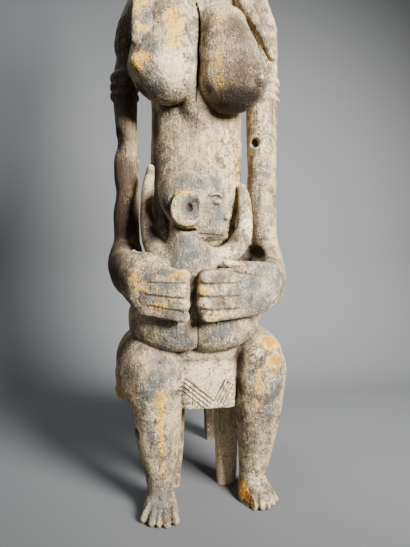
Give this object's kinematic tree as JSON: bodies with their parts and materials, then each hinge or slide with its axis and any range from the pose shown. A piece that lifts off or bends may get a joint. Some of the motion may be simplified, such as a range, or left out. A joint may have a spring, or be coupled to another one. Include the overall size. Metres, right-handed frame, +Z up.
{
  "type": "african maternity figure",
  "caption": "Carved wooden mother seated on a legged stool, holding a child astride her lap with long-fingered hands; crested head, long breasts, tresses, armlets and a drilled arm.",
  "frame": {"origin": "middle of the bounding box on the floor plane, under the seat between the feet and the back legs of the stool", "axes": "+Z up, +X to the right of a viewer who faces the figure's front, +Y from the figure's front to its back"},
  "size_m": [0.233, 0.3018, 1],
  "materials": {
    "weathered_wood": "matte, weathered and dusty, pale where rubbed and blue-grey in the patina"
  },
  "bodies": {
    "root": {"maternity_figure": "weathered_wood"}
  },
  "joints": []
}
